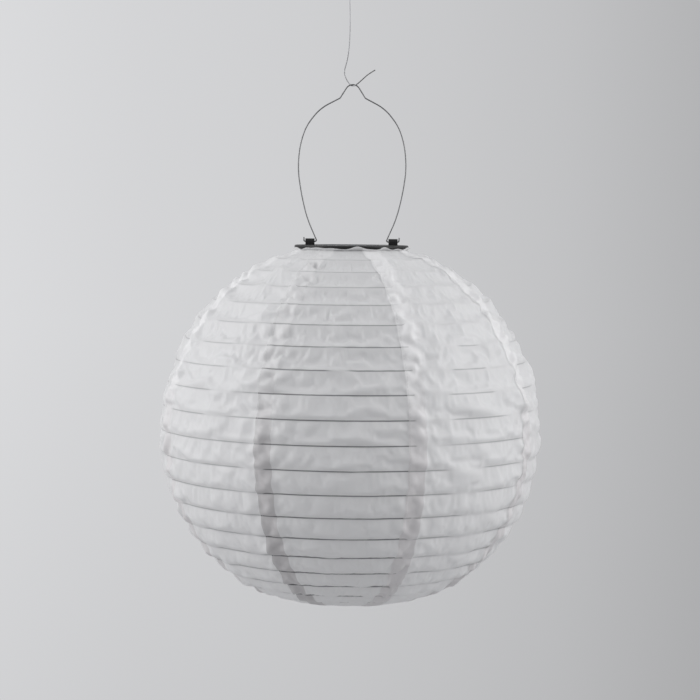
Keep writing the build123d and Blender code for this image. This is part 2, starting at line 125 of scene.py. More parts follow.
# %% Hanging wire
WIRE = 0.85 * MM
POINT_RADIUS = 0.001
WIRE_ROUTE = [  # in mm, from the cut end up to the eye
    (17.4, -12.2, -69.7),
    (12.0, -8.4, -72.6),
    (6.6, -4.6, -77.6),
    (1.7, -1.2, -81.6),
    (-1.7, 1.2, -81.6),
    (-5.6, 4.0, -76.0),
    (-7.2, 4.4, -69.8),
    (-4.5, 2.4, -61.5),
    (-2.7, 1.0, -48.0),
    (-2.4, 0.3, -24.0),
    (-3.5, 0.0, 0.0),
]


def wire_curve(name, route, thickness):
    """A round wire along a smooth line through the middle of each run of the route."""
    curve = bpy.data.curves.new(name, "CURVE")
    curve.dimensions = "3D"
    spline = curve.splines.new("NURBS")
    spline.points.add(len(route) - 1)
    for point, place in zip(spline.points, route):
        point.co = (*(v * MM for v in place), 1)
        point.radius = POINT_RADIUS
    spline.order_u = 3
    spline.use_endpoint_u = True
    spline.resolution_u = 12
    curve.bevel_depth = thickness / 2 / POINT_RADIUS
    curve.bevel_resolution = 5
    curve.use_fill_caps = True
    piece = bpy.data.objects.new(name, curve)
    bpy.context.collection.objects.link(piece)
    return piece


hook_wire = wire_curve("hook_wire", WIRE_ROUTE, WIRE)
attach(hook_wire, "suspension")
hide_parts("hanging_wire")
print("hanging wire:", len(WIRE_ROUTE), "points")

# %% [markdown]
# ## Shader maths
# A finish is a small network of nodes. Written link by link it is hard to read, so three small classes
# let a network be written as sums. `Signal` is a number that varies over a surface, and arithmetic on
# it adds Math nodes. `Network` adds any other node with one method. `Finish` is a network with a
# Principled shader at its end, which makes it a material.

# %% Signals
class Signal:
    """A number that varies over a surface; sums and products on it add Math nodes."""

    def __init__(self, network, socket):
        self.network = network
        self.socket = socket

    def maths(self, operation, *values):
        node = self.network.node("ShaderNodeMath", {"operation": operation}, dict(enumerate(values)))
        return Signal(self.network, node.outputs[0])

    def __add__(self, other):
        return self.maths("ADD", self, other)

    def __sub__(self, other):
        return self.maths("SUBTRACT", self, other)

    def __rsub__(self, other):
        return self.maths("SUBTRACT", other, self)

    def __mul__(self, other):
        return self.maths("MULTIPLY", self, other)

    def __truediv__(self, other):
        return self.maths("DIVIDE", self, other)

    __radd__ = __add__
    __rmul__ = __mul__

    def size(self):
        return self.maths("ABSOLUTE", self)

    def whole(self):
        return self.maths("FLOOR", self)

    def fraction(self):
        return self.maths("FRACT", self)

    def larger(self, other):
        return self.maths("MAXIMUM", self, other)

    def step(self, low, high):
        """0 below low, 1 above high, and smooth between; low may be the greater."""
        ends = {"Value": self, "From Min": min(low, high), "From Max": max(low, high)}
        node = self.network.node("ShaderNodeMapRange", {"interpolation_type": "SMOOTHSTEP"}, ends)
        result = Signal(self.network, node.outputs[0])
        return 1 - result if low > high else result


# %% Networks
class Network:
    """The nodes of a material or of the world."""

    def __init__(self, owner):
        owner.use_nodes = True
        self.tree = owner.node_tree
        self.tree.nodes.clear()

    def node(self, kind, settings=None, inputs=None):
        node = self.tree.nodes.new(kind)
        for name, value in (settings or {}).items():
            if name == "stops":
                self.set_stops(node.color_ramp.elements, value)
            else:
                setattr(node, name, value)
        for name, value in (inputs or {}).items():
            self.feed(node.inputs[name], value)
        return node

    def feed(self, socket, value):
        """Links a signal or a socket to the socket, or sets it to a constant."""
        if isinstance(value, Signal):
            value = value.socket
        if isinstance(value, bpy.types.NodeSocket):
            self.tree.links.new(value, socket)
        else:
            socket.default_value = value

    def set_stops(self, elements, stops):
        while len(elements) < len(stops):
            elements.new(0.5)
        for element, (place, colour) in zip(elements, stops):
            element.position = place
            element.color = (*colour, 1)


# %% Finishes
class Finish(Network):
    """A material with one Principled shader; constant sockets are given by name."""

    def __init__(self, name, colour, **sockets):
        self.material = bpy.data.materials.new(name)
        super().__init__(self.material)
        self.output = self.node("ShaderNodeOutputMaterial")
        constants = {key.replace("_", " "): value for key, value in sockets.items()}
        constants["Base Color"] = (*colour, 1)
        self.shader = self.node("ShaderNodeBsdfPrincipled", {}, constants)
        self.feed(self.output.inputs["Surface"], self.shader.outputs[0])

    def place(self):
        """The point in the lantern's own frame, in metres."""
        return self.node("ShaderNodeTexCoord").outputs["Object"]

    def axis(self, letter):
        parts = self.node("ShaderNodeSeparateXYZ", {}, {0: self.place()})
        return Signal(self, parts.outputs[letter])

    def attribute(self, name):
        node = self.node("ShaderNodeAttribute", {"attribute_name": name})
        return Signal(self, node.outputs["Fac"])

    def noise(self, scale, detail=2.0, stretch=(1, 1, 1)):
        """Noise from 0 to 1 with about scale bumps in a metre."""
        mapped = self.node("ShaderNodeMapping", {}, {"Vector": self.place(), "Scale": stretch})
        inputs = {"Vector": mapped.outputs[0], "Scale": scale, "Detail": detail}
        return Signal(self, self.node("ShaderNodeTexNoise", {}, inputs).outputs[0])

    def mix(self, mask, first, second):
        """first where the mask is 0, second where it is 1; both are colours."""
        node = self.node("ShaderNodeMix", {"data_type": "RGBA"})
        for name, value in (("Factor", mask), ("A", first), ("B", second)):
            kind = "VALUE" if name == "Factor" else "RGBA"
            socket = next(s for s in node.inputs if s.name == name and s.type == kind)
            self.feed(socket, (*value, 1) if isinstance(value, tuple) else value)
        return next(s for s in node.outputs if s.type == "RGBA")

    def paint(self, colour):
        self.feed(self.shader.inputs["Base Color"], colour)
        return self

    def roughen(self, signal):
        self.feed(self.shader.inputs["Roughness"], signal)
        return self

    def bump(self, height, distance):
        inputs = {"Height": height, "Distance": distance, "Strength": 1.0}
        node = self.node("ShaderNodeBump", {}, inputs)
        self.feed(self.shader.inputs["Normal"], node.outputs[0])
        return self

    def put_on(self, *names):
        for name in names:
            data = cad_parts[name].data
            data.materials.clear()
            data.materials.append(self.material)
        return self


print("a finish can", [name for name in vars(Finish) if not name.startswith("_")])

# %% [markdown]
# ## Wires
# Drawn wire shines along its length and is faintly streaked and spotted. The bail and the hook are
# bare steel, and the hook's cut end is darker. The hoops are darker wire; where they lie under the
# cloth, the cloth's finish paints their shadow through it as a dark line.

# %% Wire finishes
DARK_END = (0.5 * MM, 3.0 * MM)  # where the hook starts to darken, and where it is dark, along X


def drawn_wire(name, colour, roughness):
    finish = Finish(name, colour, Metallic=1.0, Roughness=roughness)
    finish.roughen(finish.noise(2500, 3) * 0.2 + (roughness - 0.1))
    return finish.bump(finish.noise(4000, 2, stretch=(1, 1, 0.15)), 0.02 * MM)


def spotted_wire(name, colour, dark, roughness):
    finish = drawn_wire(name, colour, roughness)
    spots = finish.noise(250, 3).step(0.4, 0.7) * 0.6
    return finish.paint(finish.mix(spots, colour, dark))


spotted_wire("bail_steel", (0.22, 0.22, 0.225), (0.14, 0.14, 0.14), 0.42).put_on("bail")
spotted_wire("hoop_steel", (0.16, 0.16, 0.16), (0.07, 0.07, 0.07), 0.5).put_on(*HOOPS)
hook_steel = drawn_wire("hook_steel", (0.42, 0.42, 0.43), 0.42).put_on("hanging_eye")
cut_end = hook_steel.axis("X").step(*DARK_END)
hook_steel.paint(hook_steel.mix(cut_end, (0.33, 0.33, 0.34), (0.12, 0.12, 0.12)))
hook_wire.data.materials.append(hook_steel.material)
print("wire finishes on", len(HOOPS) + 3, "pieces")

# %% [markdown]
# ## The shade's cloth
# The shade is one closed bag of thin nylon, held at every hoop and slack between hoops. A plain sheet
# of revolution would look like a lamp made of cones, because what shows that it is cloth is its slack:
# it bags out, puckers under each hoop, and bunches most beside the seams. Here the sheet is laid out
# as rows and columns of points a little outside the hoops, bulged between them, and roughened with
# noise that is stronger beside the seams. Where the cloth is off a hoop, it starts lifted there too.

# %% Sizes of the cloth
ROWS = 6                     # rows of points to a tier, the space between two hoops
COLUMNS = 384
CLOTH_OFF_WIRE = 0.6 * MM    # from the wire's centre line
GORES = 8
GORE = 2 * pi / GORES
FIRST_SEAM = radians(-90 - 25.4)
SEAM_REACH = 0.26            # share of a gore that its seam puckers
SEAM_FALL = 1.3
GORE_SETTLED = (1.5, 0.2, 0.3, 0.5, 1.0, 0.4, 0.6, 0.7)      # how firmly each gore lies on the hoops
GORE_LOOSE_ABOVE = (0.0, 1.6, 0.8, 0.3, 0.2, 0.6, 0.3, 0.5)  # how much less firmly in its upper part
LOOSE_TIERS = (8.0, 3.0)     # tier where the upper part ends, and how many tiers it fades over
SEAM_LIFTS = 0.5
CONTACT_NOISE = (0.6, 11)    # strength, waves round the globe
LIFT_AT_HOOP = 0.75          # of the bulge, where the cloth is off a hoop
SNUG_TIERS = 2.5             # at both ends, over which the slack grows
BULGE = 1.8                  # mm that the slack cloth stands out
BROAD_WAVES = (0.8, 14)      # mm, waves
FINE_WAVES = (0.5, 44)       # share of a pucker, waves
GRAIN = 0.08                 # share of a pucker, from point to point
PUCKER = (0.3, 2.2)          # mm well away from a seam, and mm more on it
draws = np.random.default_rng(11)
print("cloth:", GORES, "gores,", ROWS, "rows to each of", TIERS, "tiers")


# %% Seams and noise
def seam_closeness(angle):
    """1 on a seam, 0 well away from it, for an array of angles."""
    share = ((angle - FIRST_SEAM) / GORE) % 1.0
    away = np.minimum(share, 1 - share)
    return np.clip(1 - away / SEAM_REACH, 0, 1) ** SEAM_FALL


def soft_noise(rows, columns, waves):
    """Smooth random rows and columns that wrap round, with that many waves to the turn."""
    spectrum = np.fft.rfft(draws.normal(size=(rows, columns)), axis=1)
    turns = np.arange(spectrum.shape[1])
    spread = 0.45 * waves
    spectrum *= np.exp(-((turns - waves) / spread) ** 2)
    field = np.fft.irfft(spectrum, columns, axis=1)
    field[1:-1] = (field[:-2] + 2 * field[1:-1] + field[2:]) / 4
    return field / field.std()


# %% The sheet before it settles
def contact_with_hoops(angle):
    """How firmly the cloth lies on each hoop at each angle: 1 tight, 0 lifted off."""
    gore = np.floor(((angle - FIRST_SEAM) / GORE) % GORES).astype(int)
    tier = np.arange(TIERS + 1)[:, None]
    ends, fades = LOOSE_TIERS
    strength, waves = CONTACT_NOISE
    firm = np.array(GORE_SETTLED)[gore]
    firm = firm - np.clip((ends - tier) / fades, 0, 1) * np.array(GORE_LOOSE_ABOVE)[gore]
    firm = firm - SEAM_LIFTS * seam_closeness(angle) ** 3
    firm = firm + strength * soft_noise(TIERS + 1, angle.size, waves)
    firm[0] = firm[-1] = 2.0
    return np.clip(0.5 + 0.8 * firm, 0, 1)


def stand_off(tier, angle, contact):
    """How far each point of the sheet starts from the hoops' centre lines."""
    count = tier.size
    inside = ((tier % 1.0) * (1 - tier % 1.0) * 4)[:, None]
    near = np.array([np.interp(tier, range(TIERS + 1), column) for column in contact.T]).T
    free = inside + (1 - inside) * (1 - near) * LIFT_AT_HOOP
    to_end = np.minimum(tier + 0.6, TIERS + 0.4 - tier)
    snug = np.clip(to_end / SNUG_TIERS, 0.2, 1)[:, None]
    fine = GRAIN * draws.uniform(-1, 1, (count, angle.size))
    fine = fine + FINE_WAVES[0] * soft_noise(count, angle.size, FINE_WAVES[1])
    broad = BROAD_WAVES[0] * soft_noise(count, angle.size, BROAD_WAVES[1])
    pucker = PUCKER[0] + PUCKER[1] * seam_closeness(angle)
    return CLOTH_OFF_WIRE + np.maximum(snug * free * (BULGE + broad + fine * pucker) * MM, 0)


def start_sheet():
    """Rows by columns of points, the angle of each column, and the contact at each hoop."""
    angle = 2 * pi * np.arange(COLUMNS) / COLUMNS
    contact = contact_with_hoops(angle)
    tier = np.arange(TIERS * ROWS + 1) / ROWS
    radius, height = (np.interp(tier, range(TIERS + 1), column) for column in np.array(hoops).T)
    slope = np.arctan2(height - globe_centre, radius)
    lift = stand_off(tier, angle, contact)
    ring = radius[:, None] + lift * np.cos(slope)[:, None]
    rise = height[:, None] + lift * np.sin(slope)[:, None]
    points = np.stack([ring * np.cos(angle), ring * np.sin(angle), rise], axis=2)
    return points, angle, contact


sheet, column_angle, contact = start_sheet()
print("sheet:", sheet.shape[0], "rows of", sheet.shape[1], "points;",
      round(float(contact.mean()), 2), "of the hoops' length touched")

# %% [markdown]
# ## Settling the cloth
# Blender's Cloth makes the slack fall as cloth does. The rows at the hoops are pinned where they
# start, and the sheet's rest size is set larger than it is, which is what a negative shrink does.
# Eighteen steps are enough for thin cloth that starts near its place. The seams get more slack than
# the middles of the gores through a vertex group, so the middles stay smooth and the seams pucker.
# The rows beside a hoop aren't pinned and may sink over it, so they are brought out again.

# %% Settle it
SETTLING_STEPS = 18
SLACK_MIDDLE, SLACK_SEAM = -0.015, -0.09
FREE_CLOTH_SINKS = 0.4 * MM  # at most, inside a hoop's line


def grid_object(name, points, wraps):
    """An object whose mesh is a grid of points, closed round in its columns if it wraps."""
    rows, columns = points.shape[:2]
    faces = []
    for r in range(rows - 1):
        for c in range(columns if wraps else columns - 1):
            here, beside = r * columns + c, r * columns + (c + 1) % columns
            faces.append((here, here + columns, beside + columns, beside))
    mesh = bpy.data.meshes.new(name)
    mesh.from_pydata(points.reshape(-1, 3).tolist(), [], faces)
    piece = bpy.data.objects.new(name, mesh)
    bpy.context.collection.objects.link(piece)
    return piece


def add_groups(piece, rows, columns, angle):
    """Pins the rows at the hoops, and weights the slack of every column."""
    pins = piece.vertex_groups.new(name="pins")
    at_hoops = [r * columns + c for r in range(0, rows, ROWS) for c in range(columns)]
    pins.add(at_hoops, 1.0, "REPLACE")
    slack = piece.vertex_groups.new(name="slack")
    for c, weight in enumerate(seam_closeness(angle)):
        slack.add([r * columns + c for r in range(rows)], float(weight), "REPLACE")


def settle(points, angle):
    rows, columns = points.shape[:2]
    piece = grid_object("settling", points, wraps=True)
    add_groups(piece, rows, columns, angle)
    cloth = piece.modifiers.new("Cloth", "CLOTH")
    fabric = cloth.settings
    fabric.quality = 5
    fabric.mass = 0.3
    fabric.tension_stiffness, fabric.compression_stiffness, fabric.shear_stiffness = 20, 10, 5
    fabric.bending_stiffness = 0.05
    fabric.tension_damping = fabric.compression_damping = fabric.shear_damping = 5
    fabric.vertex_group_mass = "pins"
    fabric.vertex_group_shrink = "slack"
    fabric.shrink_min, fabric.shrink_max = SLACK_MIDDLE, SLACK_SEAM
    cloth.collision_settings.use_collision = False
    cloth.collision_settings.use_self_collision = False
    for step in range(1, SETTLING_STEPS + 1):
        bpy.context.scene.frame_set(step)
    settled = piece.evaluated_get(bpy.context.evaluated_depsgraph_get()).to_mesh()
    flat = np.empty(len(settled.vertices) * 3)
    settled.vertices.foreach_get("co", flat)
    bpy.context.scene.frame_set(1)
    bpy.data.objects.remove(piece)
    return flat.reshape(rows, columns, 3)


# %% Keep it off the hoops
def keep_off_hoops(grid):
    """Moves the rows at and beside each hoop out, where they are too close to its wire."""
    for hoop, (radius, height) in enumerate(hoops):
        slope = np.arctan2(height - globe_centre, radius)
        for beside in (-1, 0, 1):
            row = hoop * ROWS + beside
            if not 0 <= row < grid.shape[0]:
                continue
            reach = np.hypot(grid[row, :, 0], grid[row, :, 1])
            off = (reach - radius) * np.cos(slope) + (grid[row, :, 2] - height) * np.sin(slope)
            push = np.maximum((-FREE_CLOTH_SINKS if beside else CLOTH_OFF_WIRE) - off, 0)
            grid[row, :, :2] *= ((reach + push * np.cos(slope)) / reach)[:, None]
            grid[row, :, 2] += push * np.sin(slope)
    return grid


settled = settle(sheet, column_angle)
moved = np.linalg.norm(settled - sheet, axis=2) / MM
settled = keep_off_hoops(settled.copy())
print("cloth moved", round(float(moved.mean()), 2), "mm on average,",
      round(float(moved.max()), 2), "at most")

# %% [markdown]
# ## Finer rows and columns
# Each run between points is halved with the four-point rule, which keeps the folds round. A tier is
# halved by itself, so the crease at a hoop stays.

# %% Finer rows and columns
def halve_columns(grid):
    before, after, beyond = (np.roll(grid, by, 1) for by in (1, -1, -2))
    middle = (9 * (grid + after) - before - beyond) / 16
    return np.stack([grid, middle], axis=2).reshape(grid.shape[0], -1, 3)


def halve_rows(grid):
    rows = [grid[0]]
    for tier in range(TIERS):
        own = grid[tier * ROWS:(tier + 1) * ROWS + 1]
        ends = np.concatenate([2 * own[:1] - own[1:2], own, 2 * own[-1:] - own[-2:-1]])
        for k in range(ROWS):
            rows.append((9 * (ends[k + 1] + ends[k + 2]) - ends[k] - ends[k + 3]) / 16)
            rows.append(own[k + 1])
    return np.array(rows)


fine = halve_rows(halve_columns(settled))
fine_tier = np.arange(fine.shape[0]) / (2 * ROWS)
fine_columns = fine.shape[1]
print("fine sheet:", fine.shape[0], "rows of", fine_columns)

# %% [markdown]
# ## Neck and mouth
# At the neck the cloth goes on past the top hoop and flares against the lid's rim, where a few small
# peaks stand up beside it. At the mouth it is turned in round the bottom hoop as a hem.

# %% Neck and mouth
NECK_PEAKS = (  # degrees from the front, half width in degrees, height in mm
    (5, 7, 1.9), (-34, 13, 1.0), (34, 6, 1.2), (76, 9, 1.1),
    (128, 12, 1.5), (186, 8, 1.2), (232, 11, 1.6), (284, 7, 1.0),
)
NECK_SHARES = (1.0, 0.6, 0.3)    # rows, as shares of the way from the top hoop to the rim
NECK_WAVES = 18
RIM_ROOM = 0.5 * MM              # cloth to the rim's edge
HEM = ((-0.55, 0.35), (-0.1, 1.1), (2.0, 1.5), (4.5, 1.5))  # mm back up the wall, mm in from it
HEM_TIER = 0.04                  # how far past the last tier the hem counts as
TIER_RUN = 18                    # mm of cloth to a tier


def neck_rows(angle):
    frill = soft_noise(3, angle.size, NECK_WAVES)
    peaks = 0
    for at, wide, tall in NECK_PEAKS:
        away = (angle - radians(at - 90) + pi) % (2 * pi) - pi
        peaks = peaks + tall * np.exp(-(away / radians(wide)) ** 2)
    rim = lid_radius + RIM_ROOM
    top_radius, top_height = hoops[0]
    rows = []
    for share in NECK_SHARES:
        radius = top_radius + CLOTH_OFF_WIRE + (rim - top_radius) * share
        radius = radius + 0.2 * MM * frill[1] * share
        rise = (rim_under - top_height) * share ** 0.8 * (0.7 + 0.12 * frill[2])
        height = top_height + rise + peaks * MM * share
        radius = np.where(height > rim_under - 0.2 * MM, np.maximum(radius, rim), radius)
        rows.append((-share, radius, height))
    return rows


def mouth_rows(angle):
    low_radius, low_height = hoops[-1]
    wall = (hoops[-2][0] - low_radius, hoops[-2][1] - low_height)
    run = hypot(*wall)
    along, inward = (wall[0] / run, wall[1] / run), (-wall[1] / run, wall[0] / run)
    rows = []
    for depth, off in HEM:
        radius = low_radius + (depth * along[0] + off * inward[0]) * MM
        height = low_height + (depth * along[1] + off * inward[1]) * MM
        tier = TIERS + HEM_TIER + max(depth, 0) / TIER_RUN
        rows.append((tier, radius + 0 * angle, height + 0 * angle))
    return rows


fine_angle = 2 * pi * np.arange(fine_columns) / fine_columns


def ring_points(radius, height):
    return np.stack([radius * np.cos(fine_angle), radius * np.sin(fine_angle), height], axis=1)


neck, mouth = neck_rows(fine_angle), mouth_rows(fine_angle)
whole = np.array([ring_points(*row[1:]) for row in neck] + list(fine)
                 + [ring_points(*row[1:]) for row in mouth])
whole_tier = np.array([row[0] for row in neck] + list(fine_tier) + [row[0] for row in mouth])
print("whole shade:", whole.shape[0], "rows")

# %% [markdown]
# ## Cutting the gores
# The real bag is sewn from eight gores that lap over each other at the seams, so the cloth is double
# there and lets less light through. Here each gore is cut out of the settled sheet with a lap on both
# sides, and its left lap lies on top of its neighbour. Each point keeps, as attributes, its tier, its
# distance from the left edge and down the cloth, and how firmly it touches the nearest hoop. The
# finish reads them.

# %% Sampling the sheet
LAP_HALF = 7.0 * MM
LAP_STEPS = 5
LAP_LIFT = 0.35 * MM
LAP_EASE = 0.25              # of half a lap, over which its edge comes down
LAP_WIDEST = 0.16            # radians, for the small hoops


def outward(grid):
    """Unit normals of a grid that wraps round in its columns."""
    across = np.roll(grid, -1, 1) - np.roll(grid, 1, 1)
    down = np.gradient(grid, axis=0)
    normal = np.cross(down, across)
    return normal / np.maximum(np.linalg.norm(normal, axis=2, keepdims=True), 1e-12)


normals = outward(whole)
row_radius = np.hypot(whole[:, :, 0], whole[:, :, 1]).mean(axis=1)


def sample(grid, row, angles):
    """Points of one row of a grid at any angles, straight between columns."""
    place = (angles / (2 * pi) * fine_columns) % fine_columns
    low = np.floor(place).astype(int)
    share = (place - low)[:, None]
    near, far = grid[row, low % fine_columns], grid[row, (low + 1) % fine_columns]
    return near * (1 - share) + far * share


def contact_at(tier, angles):
    """The contact at the nearest hoop, at any angles."""
    row = contact[min(max(int(round(tier)), 0), TIERS)]
    closed_angle = np.append(column_angle, 2 * pi)
    return np.interp(angles % (2 * pi), closed_angle, np.append(row, row[0]))


def gore_angles(start, half):
    """Angles across a gore: a lap, the cloth between the laps, and the other lap."""
    lap = np.linspace(-half, half, 2 * LAP_STEPS + 1)
    count = fine_columns // GORES - 2 * LAP_STEPS
    between = np.linspace(start + half, start + GORE - half, count)[1:-1]
    return np.concatenate([start + lap, between, start + GORE + lap])


print("rows are", round(row_radius.min(), 4), "to", round(row_radius.max(), 4), "m from the axis")

# %% Cut one gore
def cut_gore(number):
    """A gore's object, its greatest width, its length and its area."""
    start = FIRST_SEAM + (number - 1) * GORE
    points = []
    values = {"tier": [], "left": [], "touch": []}
    for row, tier in enumerate(whole_tier):
        half = min(LAP_HALF / row_radius[row], LAP_WIDEST)
        angles = gore_angles(start, half)
        lift = LAP_LIFT * np.clip(1.0 - (angles - (start + half)) / (LAP_EASE * half), 0, 1)
        points.append(sample(whole, row, angles) + lift[:, None] * sample(normals, row, angles))
        values["tier"].append(np.full(len(angles), tier))
        values["left"].append((angles - angles[0]) * row_radius[row])
        values["touch"].append(contact_at(tier, angles))
    points = np.array(points)
    run = np.linalg.norm(np.diff(points, axis=0), axis=2)
    down = np.concatenate([np.zeros((1, points.shape[1])), np.cumsum(run, axis=0)])
    piece = grid_object(f"cloth_gore_{number}", points, wraps=False)
    for name, rows in {**values, "down": down}.items():
        attribute = piece.data.attributes.new(name, "FLOAT", "POINT")
        attribute.data.foreach_set("value", np.asarray(rows, np.float32).reshape(-1))
    piece.data.polygons.foreach_set("use_smooth", [True] * len(piece.data.polygons))
    across = np.linalg.norm(np.diff(points, axis=1), axis=2).sum(axis=1)
    area = float((0.5 * (across[1:] + across[:-1]) * run.mean(axis=1)).sum())
    return piece, float(across.max()), float(down[-1].mean()), area


gores = [cut_gore(number) for number in range(1, GORES + 1)]
for piece, width, length, area in gores:
    print(piece.name, round(width, 4), "x", round(length, 4), "m, area", round(area, 4))

# %% [markdown]
# ## Fold
# The gores ride on the lid. Here the share of their height that would stay is worked out, for each
# squashed up towards the top hoop as far as the fold brings the bottom hoop. Real cloth gathers in a
# pleat between each two hoops, and squashing all of it evenly is the near thing that one shape can do.

# %% Ride on the lid, and the share kept by the fold
FOLD_TRAVEL = 0.245
shade_fold_keep = 1 - FOLD_TRAVEL / (hoops[0][1] - hoops[-1][1])
for number, (piece, *_) in enumerate(gores, start=1):
    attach(piece, "lid")
    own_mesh(piece)
    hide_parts(f"shade_gore_{number}")
print("gores ride on the lid and fold to", round(shade_fold_keep, 3), "of their height")

# %% [markdown]
# ## Cloth finish
# Thin nylon both reflects and lets light through, so its finish mixes a Principled shader with a
# Translucent one. Where a hoop lies against it, the dark wire's shadow through the cloth is painted as
# a thin dark line, broken where the cloth lifts off the wire, and fainter and thinner high on the
# globe, with a faint painted highlight beside it. The laps are painted greyer, most in the lower half,
# as painted shade for the double cloth that lets less light through. The weave, the finest puckers and
# the stitches are too small for the mesh, so they are bump. The gores are not all alike: the front one
# and the one behind it get a greyer copy of the cloth, painted shade for the light that reaches them
# less.

# %% Cloth
# The colour of the painted shadow of the hoop wire on the cloth.
WIRE_SHADOW_GREY = (0.06, 0.06, 0.065)
DUST_GREY = (0.6, 0.58, 0.56)
STITCH_IN = 1.4 * MM         # from the gore's edge
STITCH_PITCH = 2.6 * MM
WEAVE_PITCH = 0.5 * MM
# Gores that get the shaded copy of the cloth.
SHADED_GORES = ("cloth_gore_1", "cloth_gore_5")


def hoop_line(finish, tier, wire_shadow_strength):
    """The painted shadow of a hoop's wire through the cloth, and a faint painted highlight beside it.
    """
    from_hoop = (tier - (tier + 0.5).whole()).size()
    shadow_stronger_low = tier.step(0.0, 9.0) * 0.7 + 0.3
    thicker_low = tier.step(11.0, 19.0) * 1.1 + 1.0
    touching = finish.attribute("touch").step(0.25, 0.9)
    # Painted shade: the hoop wire's shadow through the cloth, as a dark line that is stronger low on
    # the globe.
    wire_shadow_line = (from_hoop / thicker_low).step(0.036, 0.012) * touching * shadow_stronger_low * wire_shadow_strength
    return wire_shadow_line, from_hoop.step(0.16, 0.05) * 0.06


def stitches(left, down):
    """1 on each stitch of the row that runs beside the gore's left edge."""
    on_row = (left - STITCH_IN).size().step(0.45 * MM, 0.2 * MM)
    return on_row * ((down / STITCH_PITCH).fraction() - 0.5).size().step(0.36, 0.32)


def threads(along):
    return ((along / WEAVE_PITCH).fraction() - 0.5).size()


def cloth_finish(name, tone, wire_shadow_strength, lap_shade_tone, through=0.4):
    colour = (tone, tone, tone * 1.005)
    finish = Finish(name, colour, Roughness=0.5, Sheen_Weight=0.15, Sheen_Roughness=0.4,
                    Specular_IOR_Level=0.35)
    tier, left, down = (finish.attribute(a) for a in ("tier", "left", "down"))
    wire_shadow_line, painted_highlight = hoop_line(finish, tier, wire_shadow_strength)
    on_lap = left.step(2 * LAP_HALF, 2 * LAP_HALF - 0.6 * MM)
    stitch = stitches(left, down)
    colour = finish.mix(finish.noise(24, 4).step(0.4, 0.8) * 0.05, colour, DUST_GREY)
    # Painted shade: the laps are greyer, most in the lower half, for the double cloth that lets less
    # light through.
    painted_lap_shade = (lap_shade_tone, lap_shade_tone * 0.975, lap_shade_tone * 0.985)
    colour = finish.mix(on_lap * (tier.step(6.5, 11.5) * 0.85 + 0.15), colour, painted_lap_shade)
    # Painted highlight: a faint light band on each side of the hoop's line.
    colour = finish.mix(painted_highlight, colour, (1.0, 1.0, 1.0))
    colour = finish.mix(wire_shadow_line, colour, WIRE_SHADOW_GREY)
    finish.paint(finish.mix(stitch * 0.35, colour, (tone * 0.72,) * 3))
    creases = finish.noise(110, 3) + 0.25 * finish.noise(500, 2)
    finish.bump(creases + 0.04 * (threads(left) + threads(down)) + stitch * 0.6, 0.2 * MM)
    glow_through = finish.node("ShaderNodeBsdfTranslucent", {}, {"Color": (0.88, 0.88, 0.885, 1)})
    share = (1 - wire_shadow_line) * (1 - on_lap * 0.5) * through
    mixed = finish.node("ShaderNodeMixShader", {}, {
        0: share, 1: finish.shader.outputs[0], 2: glow_through.outputs[0]})
    finish.feed(finish.output.inputs["Surface"], mixed.outputs[0])
    return finish.material


# Painted shade: the front and back gores get a greyer copy of the cloth, with a stronger painted wire
# shadow and lap shade, for the light that reaches them less.
cloth_shaded = cloth_finish("cloth_shaded", tone=0.79, wire_shadow_strength=0.85, lap_shade_tone=0.55)
cloth_lit = cloth_finish("cloth_lit", tone=0.90, wire_shadow_strength=0.45, lap_shade_tone=0.72)
for piece, *_ in gores:
    piece.data.materials.append(cloth_shaded if piece.name in SHADED_GORES else cloth_lit)
print("cloth finishes:", cloth_shaded.name, cloth_lit.name)

# %% [markdown]
# ## Plastics
# The lid and the housing are moulded. The lid is smooth enough to catch a soft highlight on its rim,
# with a faint grain; the housing is spark-textured and duller. Both pick up a little dust.

# %% Plastic finishes
def moulded(name, colour, roughness, grain):
    finish = Finish(name, colour, Roughness=roughness, Specular_IOR_Level=0.35)
    dusty = tuple(c * 0.9 + 0.02 for c in colour)
    finish.paint(finish.mix(finish.noise(60, 4).step(0.5, 0.85) * 0.5, colour, dusty))
    finish.roughen(finish.noise(300, 3) * 0.2 + (roughness - 0.1))
    return finish.bump(finish.noise(2600, 2), grain * MM)


moulded("lid_black", (0.006, 0.006, 0.0065), 0.42, 0.02).put_on("lid_plate")
housing_grey = moulded("housing_grey", (0.075, 0.075, 0.080), 0.55, 0.05)
housing_grey.put_on("lower_housing", "battery_cover")
moulded("knob_black", (0.03, 0.03, 0.03), 0.5, 0.04).put_on("switch_slider")
moulded("chip_epoxy", (0.02, 0.02, 0.02), 0.6, 0.03).put_on("driver_chip")
moulded("foam_black", (0.035, 0.035, 0.036), 0.9, 0.2).put_on("housing_gasket", "cell_tape")
print("plastics and foam on 7 pieces")

# %% [markdown]
# ## The solar cell
# The cell is a square of dark blue silicon under clear epoxy. Thin silver fingers collect the current
# and two wider bars gather it. The lines come from the fraction of the Object coordinates, which makes
# a repeating ruler out of a position.

# %% Solar cell and its window
FINGER_PITCH = 1.6 * MM
BUSBAR_AT = 8.0 * MM
SILVER = (0.55, 0.56, 0.58)


def solar_finish():
    finish = Finish("solar_silicon", (0.012, 0.016, 0.045), Roughness=0.28, Coat_Weight=0.6,
                    Coat_Roughness=0.08)
    across, along = finish.axis("X"), finish.axis("Y")
    fingers = ((along / FINGER_PITCH).fraction() - 0.5).size().step(0.08, 0.04)
    bars = (across.size() - BUSBAR_AT).size().step(0.7 * MM, 0.6 * MM)
    silver = fingers.larger(bars)
    grains = finish.mix(finish.noise(180, 1), (0.010, 0.014, 0.040), (0.022, 0.030, 0.075))
    finish.paint(finish.mix(silver, grains, SILVER))
    finish.roughen(0.28 + silver * 0.15)
    return finish.bump(silver, 0.02 * MM)


